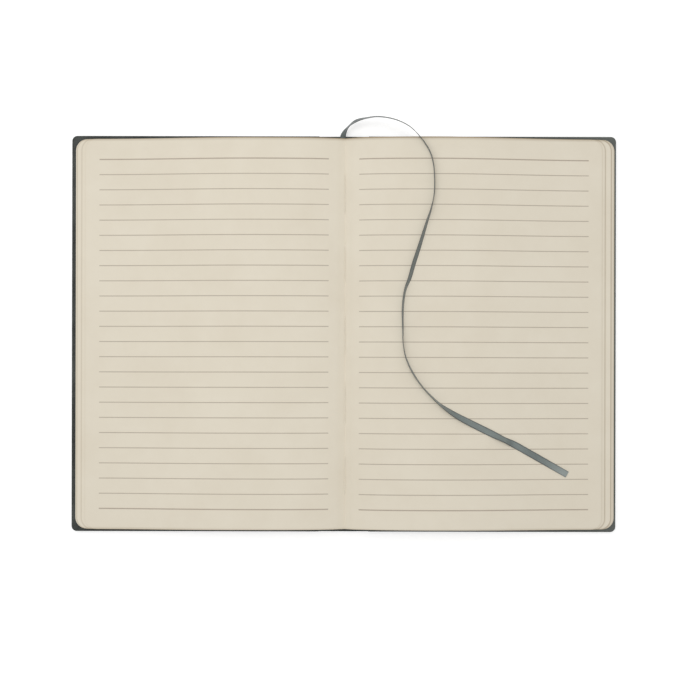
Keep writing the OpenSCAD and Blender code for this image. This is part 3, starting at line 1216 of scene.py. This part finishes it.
@dataclass
class Sewing:
    """Five stitches of two-ply thread, which go down through the fold at their ends."""

    form: OpenForm
    count: int = 5
    length: float = 19.0
    pitch: float = 37.0
    thread_d: float = 0.5
    ply_share: float = 0.3
    twist_pitch: float = 1.5
    dive: float = 1.3
    sides: int = 6
    sharp_deg: float = 60.0
    step: float = 0.2

    def rest_z(self) -> float:
        """Works out how high a stitch lies between the two slopes of the fold.

        Returns:
            The height of its middle.
        """
        rise = self.form.page_z + self.form.right_arch - self.form.fold_z
        steepest = math.atan(rise / self.form.gutter_w)
        return self.form.fold_z + self.thread_d / 2 / math.cos(steepest)

    def add_ply(self, draft: MeshDraft, middle: float, start: float) -> None:
        """Adds one ply of one stitch.

        Args:
            draft: Where it goes.
            middle: The stitch's middle along y.
            start: Turn at which the ply starts, in radians.
        """
        radius = self.thread_d * self.ply_share
        swing = self.thread_d / 2 - radius
        steps = round((self.length + 2 * self.dive) / self.step)
        ys = np.linspace(-self.length / 2 - self.dive, self.length / 2 + self.dive, steps)
        past = np.clip(np.abs(ys) - self.length / 2, 0, self.dive)
        zs = self.rest_z() - past**2 / self.dive
        rings = []
        turns = np.linspace(0, math.tau, self.sides + 1)[:-1]
        for y, z in zip(ys, zs):
            twist = start + math.tau * y / self.twist_pitch
            x = self.form.shift_x + swing * math.cos(twist)
            centre = z + swing * math.sin(twist)
            ring = [(x + radius * math.cos(a), middle + y, centre + radius * math.sin(a))
                    for a in turns]
            rings.append(np.array(ring))
        draft.rings(rings)

    def make(self) -> None:
        """Builds all the stitches as one piece."""
        draft = MeshDraft()
        for index in range(self.count):
            middle = (index - (self.count - 1) / 2) * self.pitch + self.form.shift_y
            for start in (0, math.pi):
                self.add_ply(draft, middle, start)
        piece = draft.piece("twisted_thread", ThreadFinish().make(), self.sharp_deg)
        put_on_block(piece, "sewing_thread", "stitches in the fold")


@dataclass
class CoverSkin:
    """The covering sheet: the spine's middle and a half on each side, turned in all round."""

    half_w: float = 144.5
    half_h: float = 105.0
    corner_r: float = 2.8
    least_r: float = 0.02
    sheet_t: float = 0.5
    board_t: float = 2.0
    turn_in: float = 15.0
    strip_half_w: float = 6.5
    strip_t: float = 0.8
    board_x: float = 13.5
    hinge_x: float = 10.0
    bend_lead: float = 0.5
    spine_end: float = 8.5
    edge_r: float = 0.9
    slope_w: float = 0.9
    groove: float = 0.22
    groove_w: float = 1.6
    air: float = 0.02
    slack: float = 0.01
    weld: float = 0.002
    edge_steps: int = 5
    corner_steps: int = 7
    joint_step: float = 0.45
    joint_past: float = 0.4
    board_from: float = 0.6
    board_short: float = 1.0
    board_samples: int = 14
    digits: int = 3

    @property
    def turned_x(self) -> float:
        """Where the covering that is turned in over the fore edge ends."""
        return self.half_w - self.turn_in

    @property
    def turned_y(self) -> float:
        """Where the covering that is turned in over the head and the tail ends."""
        return self.half_h - self.turn_in

    def board_rise(self, x: float) -> float:
        """Height of the board's slope at a distance from the middle of the spine."""
        return float(ease(x, self.board_x - self.slope_w, self.board_x)) * self.board_t

    def height(self, x: float) -> float:
        """Works out the height of the turned-in cover.

        Args:
            x: Distance from the middle of the spine.

        Returns:
            The height.
        """
        flat = 2 * self.sheet_t + self.air
        strip_slope = ease(x, self.strip_half_w, self.strip_half_w + self.slope_w)
        rise = self.strip_t * (1 - float(strip_slope)) + self.board_rise(x)
        return flat + rise - self.air * min(1.0, rise)

    def sunk(self, x: float) -> float:
        """Works out how far the outside is pressed in along the joint.

        Args:
            x: Distance from the middle of the spine.

        Returns:
            The depth.
        """
        rise = float(ease(x, self.strip_half_w, self.strip_half_w + self.groove_w))
        fall = float(ease(x, self.board_x - self.groove_w, self.board_x))
        return self.groove * (rise - fall)

    def profile(self, height: float, sunk: float) -> list[Pair]:
        """Draws the outside of the sheet over one edge.

        Args:
            height: Height of the turned-in cover there.
            sunk: Level of the outside there.

        Returns:
            How far in from the edge and how high each point is, inside end first.
        """
        radius = min(self.edge_r, (height - sunk) / 2 - self.least_r)
        turns = np.linspace(0, math.pi / 2, self.edge_steps + 1)
        top = [(radius - radius * math.sin(a), height - radius + radius * math.cos(a))
               for a in turns]
        foot = [(radius - radius * math.cos(a), sunk + radius - radius * math.sin(a))
                for a in turns]
        return [(self.turn_in, height), (self.turn_in / 2, height), *top, *foot]

    def lining(self, height: float, sunk: float) -> list[Pair]:
        """Draws the inside of the sheet, against the board.

        Args:
            height: Height of the turned-in cover there.
            sunk: Level of the outside there.

        Returns:
            How far in from the edge and how high each point is, outside end first.
        """
        t = self.sheet_t
        low = min(sunk + t, height - t - self.slack)
        return [(t, low), (t, height - t), (self.turn_in, height - t)]

    def outline(self, inset: float) -> list[Pair]:
        """Draws the cover's outer corners and fore edge, set in by a distance.

        Args:
            inset: The distance.

        Returns:
            Points from the head corner round to the tail corner.
        """
        radius = max(self.corner_r - inset, self.least_r)
        x0, y0 = self.half_w - inset - radius, self.half_h - inset - radius
        turns = np.linspace(0, math.pi / 2, self.corner_steps + 1)
        head = [(x0 + radius * math.sin(a), y0 + radius * math.cos(a)) for a in turns]
        return head + [(x, -y) for x, y in reversed(head)]

    def joint_stations(self, start: float) -> list[float]:
        """Places along the head at which the section is drawn, from a start over the joint."""
        return [*np.arange(start, self.board_x + self.joint_past, self.joint_step)]

    def half_draft(self) -> MeshDraft:
        """Builds the right-hand half as a closed shell.

        Returns:
            The draft of the half.
        """
        far_x = self.turned_x - self.board_short
        board = np.linspace(self.board_x + self.board_from, far_x, self.board_samples)
        xs = [*self.joint_stations(self.spine_end), *board]
        sections = []
        for x in xs:
            height, sunk = self.height(x), self.sunk(x)
            sections.append(self.profile(height, sunk) + self.lining(height, sunk))
        outside = self.profile(self.height(self.half_w), 0.0)
        outer = len(outside)
        rings = []
        for place, (inset, level) in enumerate(outside + self.lining(self.height(self.half_w), 0.0)):
            head = [(x, self.half_h - s[place][0], s[place][1]) for x, s in zip(xs, sections)]
            tail = [(x, -y, z) for x, y, z in reversed(head)]
            bend = [(x, y, level) for x, y in self.outline(inset)]
            rings.append(np.array(head + bend + tail))
        draft = MeshDraft()
        draft.rings(rings[:outer], closed=False, capped=False)
        draft.rings([*rings[outer:], rings[0]], closed=False, capped=False)
        self.fill_across(draft, outer, rings)
        return draft

    def fill_across(self, draft: MeshDraft, outer: int, rings: list[Array]) -> None:
        """Closes the outside and inside faces from head to tail, and the end at the spine.

        Args:
            draft: The shell so far.
            outer: How many rings draw its outside.
            rings: All the rings, the outside's first.
        """
        size = len(rings[0])
        foot, inner = (outer - 1) * size, outer * size
        for first in (foot, inner):
            for j in range(size // 2 - 1):
                k = size - 1 - j
                draft.faces.append((first + j, first + j + 1, first + k - 1, first + k))
        for end in (0, size - 1):
            rim = [row * size + end for row in range(len(rings))]
            draft.faces.append(tuple(rim))
        draft.faces.append((foot, inner, inner + size - 1, foot + size - 1))

    def bend_at_joint(self, piece: Any, side: Side) -> None:
        """Bakes a piece's place into its mesh.

        Args:
            piece: The object.
            side: Not used.
        """
        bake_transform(piece)

    def make_half(self, side: Side, leather: bpy.types.Material) -> None:
        """Builds one half.

        Args:
            side: The half.
            leather: Its finish.
        """
        draft = self.half_draft()
        for rows in draft.points:
            rows[:, 0] *= side.value
        piece = draft.piece(f"{side.cover}_skin", leather)
        turn_out(piece.data, self.weld)
        self.bend_at_joint(piece, side)
        note = "covering sheet over a board and its joint"
        hand_in(piece, f"{side.cover}_wrap", note)

    def make_spine(self, leather: bpy.types.Material) -> None:
        """Builds the strip of the sheet over the spine.

        Args:
            leather: Its finish.
        """
        starts = self.joint_stations(-self.spine_end)
        xs = [x for x in starts if abs(x) <= self.spine_end + self.slack]
        xs = sorted({round(x, self.digits) for x in [*xs, *(-v for v in xs), self.spine_end]})
        rings = []
        for x in xs:
            height, sunk = self.height(abs(x)), self.sunk(abs(x))
            outside, inside = self.profile(height, sunk), self.lining(height, sunk)
            head = [(x, self.half_h - d, z) for d, z in outside]
            tail = [(x, d - self.half_h, z) for d, z in reversed(outside)]
            inside_tail = [(x, d - self.half_h, z) for d, z in reversed(inside)]
            inside_head = [(x, self.half_h - d, z) for d, z in inside]
            rings.append(np.array(head + tail + inside_tail + inside_head))
        draft = MeshDraft()
        draft.rings(rings)
        piece = draft.piece("spine_skin", leather)
        put_on_block(piece, "spine_wrap", "covering sheet over the spine")


@dataclass
class Endpapers:
    """On each side a pasted half that bends at the joint and a free half under the leaves."""

    form: OpenForm
    skin: CoverSkin
    paper: bpy.types.Material
    paper_t: float = 0.16
    margin: float = 3.0
    foot_x: float = 9.7
    foot_z: float = 1.25
    lip_w: float = 0.8
    paste_t: float = 0.01
    joint_step: float = 0.3
    joint_past: float = 0.5
    board_from: float = 1.0
    board_short: float = 1.2
    board_samples: int = 10
    lip_reach: Pair = (-0.9, 0.3)
    lip_samples: int = 5
    corner_steps: int = 6
    inside_short: float = 0.02
    inside_samples: int = 9
    rise_reach: Pair = (-0.012, 0.004)
    rise_samples: int = 6
    edge_samples: int = 4
    digits: int = 4
    free_start: float = 1.0
    free_bend_w: float = 20.0
    free_crowding: float = 1.3
    free_samples: tuple[int, int, int] = (12, 18, 8)
    free_air: float = 0.02
    crease_gap: float = 0.45
    wing_samples: int = 5

    def paste_level(self, x: float, y: float) -> float:
        """Works out the height of the cover's inside under the pasted half.

        Args:
            x: Distance from the middle of the spine.
            y: Place along the spine.

        Returns:
            The height of board, joint or turned-in covering there.
        """
        skin = self.skin
        board = skin.board_rise(x) + skin.sheet_t
        head = float(ease(abs(y), skin.turned_y - self.lip_w, skin.turned_y))
        fore = float(ease(x, skin.turned_x - self.lip_w, skin.turned_x))
        return board + max(head, fore) * (skin.height(x) - board)

    def pasted_xs(self, reach: float) -> Array:
        """Spaces out places from the joint to the fore edge, closest where the paper bends.

        Args:
            reach: Where the fore edge lies.

        Returns:
            The places, counted from the middle of the spine.
        """
        board_x, turned_x = self.skin.board_x, self.skin.turned_x
        joint = np.arange(self.foot_x, board_x + self.joint_past, self.joint_step)
        flat = (board_x + self.board_from, turned_x - self.board_short)
        lip = (turned_x + past for past in self.lip_reach)
        return np.concatenate([
            joint,
            np.linspace(*flat, self.board_samples),
            np.linspace(*lip, self.lip_samples),
            corner_samples(reach, self.form.corner_r, self.corner_steps),
        ])

    def pasted_shares(self) -> Array:
        """Spaces out shares of the half height, closest where the covering is turned in.

        Returns:
            The shares, from the tail's -1 to the head's 1.
        """
        turned = self.skin.turned_y / (self.skin.half_h - self.margin)
        inner = turned - self.inside_short
        rise = np.linspace(*(turned + past for past in self.rise_reach), self.rise_samples)
        edge = np.linspace(turned + self.inside_short, 1, self.edge_samples)
        steps = [np.linspace(-inner, inner, self.inside_samples), -rise, rise, -edge, edge]
        return np.unique(np.round(np.concatenate(steps), self.digits))

    def make_pasted(self, side: Side) -> None:
        """Builds the pasted half.

        Args:
            side: The half of the book.
        """
        reach = self.skin.half_w - self.margin
        xs, shares = self.pasted_xs(reach), self.pasted_shares()
        halves = half_heights(xs, reach, self.form.corner_r, self.skin.half_h - self.margin)
        rings = []
        for x, half in zip(xs, halves):
            under = [(side.value * x, y, self.paste_level(x, y) + self.paste_t) for y in shares * half]
            top = [(x_there, y, z + self.paper_t) for x_there, y, z in under]
            rings.append(np.array(top + under[::-1]))
        draft = MeshDraft()
        draft.rings(rings)
        piece = draft.piece(f"{side.cover}_pasted_sheet", self.paper)
        self.skin.bend_at_joint(piece, side)
        node = f"{side.cover}_pastedown"
        hand_in(piece, node, "endpaper pasted to the cover")

    def make_free(self, side: Side) -> None:
        """Builds the free half, from its fold at the joint to its fore edge.

        Args:
            side: The half of the book.
        """
        form, start = self.form, self.form.back_half_w + self.free_start
        bent, level, corner = self.free_samples
        crowded = np.linspace(0, 1, bent)[:-1]**self.free_crowding
        straight = np.linspace(start + self.free_bend_w, form.leaf_reach - form.corner_r, level)
        round_end = corner_samples(form.leaf_reach, form.corner_r, corner)
        xs = np.concatenate([start + crowded * self.free_bend_w, straight[:-1], round_end])
        under = np.stack([xs, form.lower(xs, side) - self.paper_t / 2 - self.free_air], 1)
        foot = np.array([self.foot_x - side.value * form.shift_x, self.foot_z])
        crease = np.array([form.back_half_w + self.crease_gap, form.back_edge_z])
        wing = [foot + (crease - foot) * t for t in np.linspace(0, 1, self.wing_samples)]
        line = np.concatenate([wing, under])
        half = half_heights(line[:, 0], form.leaf_reach, form.corner_r, form.half_h)
        middle = form.sway(line[:, 0], side)
        draft = MeshDraft()
        SheetSolid(form.in_book(line, side), half, self.paper_t, middle).add_to(draft)
        piece = draft.piece(f"{side.cover}_free_sheet", self.paper)
        put_on_block(piece, f"{side.cover}_flyleaf", "endpaper under the leaves")


@dataclass
class RibbonMarker:
    """The ribbon: glued under the back, out at the head, round in a loop and over the page."""

    form: OpenForm
    width: float = 3.5
    middle_t: float = 0.2
    hem_t: float = 0.28
    hem_w: float = 0.3
    round_w: float = 0.06
    round_share: float = 0.8
    air: float = 0.15
    splits: int = 8
    plain_t: float = 0.35
    loop: tuple[tuple[float, float, float, float], ...] = (
        (0.5, 80, 6.4, 0),
        (0.5, 88, 6.4, 0),
        (0.3, 96, 6.4, 0),
        (-0.2, 101, 6.4, 12),
        (-0.4, 105, 6.8, 35),
        (2.2, 109.3, 7.6, 72),
        (6.2, 112.2, 8.8, 60),
        (11.8, 113.6, 10.2, 71),
        (18.3, 114, 12.4, 73),
        (26.6, 112.2, 15, 75),
        (34, 108.4, 17, 78),
    )
    on_page: tuple[tuple[float, float, float], ...] = (
        (39.8, 102.5, 86),
        (44.2, 96, 90),
        (46.5, 89, 90),
        (47.2, 80, 90),
        (46.9, 72.5, 90),
        (45.4, 65, 80),
        (43, 57.5, 70),
        (39.5, 46, 60),
        (36.6, 37, 56),
        (34.3, 29, 60),
        (31.9, 22.4, 72),
        (30.8, 13, 75),
        (30.9, 2, 81),
        (31, -5, 88),
        (32.7, -13, 82),
        (36.5, -21, 79),
        (41.8, -28.4, 82),
        (49, -35.7, 74),
        (55, -40.2, 52),
        (60.2, -43.4, 32),
        (67.5, -47.2, 14),
        (76, -51.4, 4),
        (84.2, -55.4, 36),
        (90, -58.2, 4),
        (97, -62.1, 4),
        (107.6, -68.1, 3),
        (117.8, -73.9, 2),
    )

    def route(self) -> Array:
        """Adds the page's height to the chosen points.

        Returns:
            Rows of x, y, z and lean.
        """
        rows = [list(point) for point in self.loop]
        for x, y, lean in self.on_page:
            angle = math.radians(lean)
            page = float(self.form.upper(abs(x - self.form.shift_x), Side.RIGHT))
            lift = self.width / 2 * math.sin(angle) + self.plain_t / 2 * math.cos(angle)
            rows.append([x, y, page + self.air + lift, lean])
        return np.array(rows, float)

    def smoothed(self, rows: Array) -> Array:
        """Runs an even curve through the chosen points.

        Args:
            rows: The points.

        Returns:
            Many more points along the same way.
        """
        ends = np.concatenate([rows[:1], rows, rows[-1:]])
        spots = []
        for i in range(len(rows) - 1):
            a, b, c, d = ends[i:i + 4]
            for u in np.arange(self.splits) / self.splits:
                spots.append(0.5 * (2 * b + (c - a) * u + (2 * a - 5 * b + 4 * c - d) * u**2
                                    + (3 * b - a - 3 * c + d) * u**3))
        return np.array([*spots, rows[-1]])

    def section(self) -> list[tuple[float, float]]:
        """Draws the ribbon's section, flat.

        Returns:
            How far across and up each point is.
        """
        w, thin, thick = self.width / 2, self.middle_t / 2, self.hem_t / 2
        upper = [(w, 0), (w - self.round_w, thick * self.round_share),
                 (w - self.hem_w / 2, thick), (w - self.hem_w, thin), (w / 3, thin)]
        half = upper + [(-x, z) for x, z in reversed(upper)]
        return half + [(x, -z) for x, z in reversed(half[1:-1])]

    def make(self) -> None:
        rows = self.smoothed(self.route())
        spots, leans = rows[:, :3], np.radians(rows[:, 3])
        along = np.gradient(spots, axis=0)
        along /= np.linalg.norm(along, axis=1)[:, None]
        across = np.cross(along, (0, 0, 1))
        across /= np.linalg.norm(across, axis=1)[:, None]
        up = np.cross(across, along)
        wide = across * np.cos(leans)[:, None] + up * np.sin(leans)[:, None]
        thin = up * np.cos(leans)[:, None] - across * np.sin(leans)[:, None]
        shape = self.section()
        rings = [p + np.array([w * x + t * z for x, z in shape])
                 for p, w, t in zip(spots, wide, thin)]
        draft = MeshDraft()
        draft.rings(rings)
        steps = np.linalg.norm(np.diff(spots, axis=0), axis=1)
        run = np.concatenate([[0], np.cumsum(steps)])
        length = float(run[-1])
        piece = draft.piece("ribbon_marker", RibbonFinish(length, self.width / 2, self.hem_w).make())
        self.lay_map(piece, run, [x for x, _ in shape])
        put_on_block(piece, "ribbon", f"ribbon {length:.0f} mm long")

    def lay_map(self, piece: Any, run: Array, places: list[float]) -> None:
        """Writes the map that gives millimetres along and across the ribbon.

        Args:
            piece: The ribbon.
            run: Length up to each ring.
            places: Place across of each point of a ring.
        """
        layer = piece.data.uv_layers.new(name="ribbon_map")
        size = len(places)
        for loop in piece.data.loops:
            ring, spot = divmod(loop.vertex_index, size)
            layer.data[loop.index].uv = (run[ring], places[spot])


@dataclass(frozen=True)
class Studio:
    """White table, soft light from above and the head, and a camera straight above the book."""

    aim: Pair = (3.31, -8.51)
    camera_z: float = 800.0
    roll_deg: float = 0.12
    focal_px: float = 1501.2
    image_px: float = 700.0
    sensor: float = 36.0
    clip: Pair = (10.0, 20000.0)
    sky: float = 0.45
    ceiling: float = 0.98
    ceiling_spread_deg: float = 25.0
    ceiling_tilts_deg: Pair = (6.0, 3.0)
    lamp_power: float = 0.6
    lamp_at: Triple = (-90.0, 110.0, 420.0)
    lamp_size: float = 450.0
    floor_size: float = 6000.0
    floor_z: float = -0.15

    def make_camera(self) -> None:
        """Puts the camera where the photograph's was and makes it the scene's."""
        data = bpy.data.cameras.new("overhead_camera")
        data.sensor_width = self.sensor
        data.lens = self.focal_px / self.image_px * self.sensor
        data.clip_start, data.clip_end = (distance * MM for distance in self.clip)
        camera = bring_in("overhead_camera", data)
        camera.location = Vector((*self.aim, self.camera_z)) * MM
        camera.rotation_euler = (0.0, 0.0, math.radians(self.roll_deg))
        bpy.context.scene.camera = camera

    def make_sky(self) -> None:
        """Makes the even sky, which is white where it is looked at."""
        sheet = ShaderSheet("studio_sky", sky=True)
        strength = sheet.ramp(sheet.looked_at(), 0.0, 1.0, self.sky, 1.0)
        glow = sheet.add("Background", Color=WHITE, Strength=strength)
        sheet.feed(sheet.output.inputs["Surface"], glow.outputs[0])
        bpy.context.scene.world = sheet.owner

    def make_lamps(self) -> None:
        """Makes the soft ceiling light and a lamp on the left beyond the head."""
        above = bpy.data.lights.new("soft_ceiling", "SUN")
        above.energy, above.angle = self.ceiling, math.radians(self.ceiling_spread_deg)
        to_head, to_left = (math.radians(tilt) for tilt in self.ceiling_tilts_deg)
        bring_in("soft_ceiling", above).rotation_euler = (-to_head, -to_left, 0.0)
        data = bpy.data.lights.new("soft_lamp", "AREA")
        data.energy, data.size = self.lamp_power, self.lamp_size * MM
        lamp = bring_in("soft_lamp", data)
        lamp.location = Vector(self.lamp_at) * MM
        lamp.rotation_euler = (-lamp.location).to_track_quat("-Z", "Y").to_euler()
        lamp.visible_camera = False

    def make_floor(self) -> None:
        """Lays the table just under the covers."""
        half = self.floor_size / 2
        mesh = bpy.data.meshes.new("table_top")
        corners = [(-half, -half), (half, -half), (half, half), (-half, half)]
        spots = [(x * MM, y * MM, self.floor_z * MM) for x, y in corners]
        mesh.from_pydata(spots, [], [tuple(range(len(corners)))])
        mesh.materials.append(FloorFinish().make())
        bring_in("table_top", mesh)

    def set_view(self) -> None:
        """Keeps colours as they are written."""
        bpy.context.scene.view_settings.view_transform = "Standard"


def dress_node(node: str, material: bpy.types.Material) -> None:
    """Gives a carried-over node its finish.

    Args:
        node: The node's name.
        material: The finish.
    """
    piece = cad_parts[node]
    piece.data.materials.clear()
    piece.data.materials.append(material)
    report(piece, "carried over with a new finish")


def main() -> None:
    """Builds the scene: camera and ribbon first, then cover, endpapers, leaves and print."""
    logging.basicConfig(level=logging.INFO, format="%(message)s")
    rng = np.random.default_rng(SEED)
    form = OpenForm()
    studio = Studio()
    studio.make_camera()
    RibbonMarker(form).make()
    leather = LeatherFinish().make()
    skin = CoverSkin()
    for side in Side:
        skin.make_half(side, leather)
    skin.make_spine(leather)
    board = BoardFinish().make()
    for node in ("front_board", "back_board", "spine_strip"):
        dress_node(node, board)
    dress_node("spine_lining", ClothFinish().make())
    endpapers = Endpapers(form, skin, PaperFinish("endpaper").make())
    fan = Fan(form)
    block = TextBlock(form, fan, PaperFinish(step_lines=fan.lines(), form=form).make())
    for side in Side:
        endpapers.make_pasted(side)
        endpapers.make_free(side)
        block.make_leaves(side, rng)
    block.make_open_sheet()
    ruling = Ruling(form)
    pale_ink = InkFinish("ruling_ink", tone(178, 168, 153), tone(186, 176, 161))
    dark_ink = InkFinish("edge_ink", tone(172, 160, 145), tone(181, 169, 154))
    ruling.make("printed_lines", "ruled_lines", Slot.RULING, pale_ink)
    ruling.make("printed_edge_lines", "edge_lines", Slot.EDGE_RULING, dark_ink)
    Sewing(form).make()
    studio.make_sky()
    studio.make_lamps()
    studio.make_floor()
    studio.set_view()


if __name__ == "__main__":
    main()
